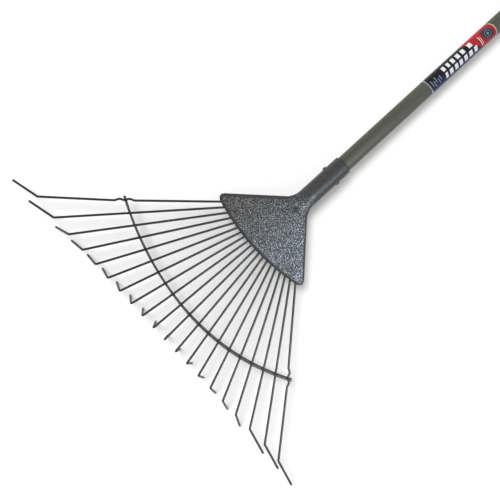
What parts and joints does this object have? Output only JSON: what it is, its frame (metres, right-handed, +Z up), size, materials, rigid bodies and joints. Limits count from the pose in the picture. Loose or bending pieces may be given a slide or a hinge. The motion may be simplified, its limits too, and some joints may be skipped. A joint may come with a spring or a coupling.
{
  "type": "leaf rake",
  "caption": "Fan leaf rake: hooked spring-wire tines tied by a curved brace, held in a pressed steel head with a rolled socket, on a long round wooden handle with a printed sleeve.",
  "frame": {"origin": "centre of the tool's bounding box on the ground plane, with the rake lying on its middle hooks and its grip end", "axes": "+X along the tool towards the grip end, +Y towards tine 1's side, +Z up from the ground"},
  "size_m": [1.702, 0.625, 0.0555],
  "materials": {
    "tine_wire": "satin dark grey paint on spring wire",
    "brace_wire": "satin dark grey paint on mild steel wire",
    "head_steel": "grey-blue hammertone paint",
    "rivet_steel": "hammertone paint over rivet steel",
    "handle_wood": "grey-olive stain, satin, faint lengthwise grain",
    "label_print": "gloss printed film, navy and red with silver lines"
  },
  "bodies": {
    "root": {"tine_01": "tine_wire", "tine_02": "tine_wire", "tine_03": "tine_wire", "tine_04": "tine_wire", "tine_05": "tine_wire", "tine_06": "tine_wire", "tine_07": "tine_wire", "tine_08": "tine_wire", "tine_09": "tine_wire", "tine_10": "tine_wire", "tine_11": "tine_wire", "tine_12": "tine_wire", "tine_13": "tine_wire", "tine_14": "tine_wire", "tine_15": "tine_wire", "tine_16": "tine_wire", "tine_17": "tine_wire", "tine_18": "tine_wire", "tine_19": "tine_wire", "tine_20": "tine_wire", "brace_top": "brace_wire", "brace_bottom": "brace_wire", "head_top_plate": "head_steel", "head_bottom_plate": "head_steel", "neck_rivet": "rivet_steel", "front_rivet": "rivet_steel", "left_rivet": "rivet_steel", "right_rivet": "rivet_steel", "socket_rivet": "rivet_steel", "handle_shaft": "handle_wood", "handle_label": "label_print"}
  },
  "joints": []
}
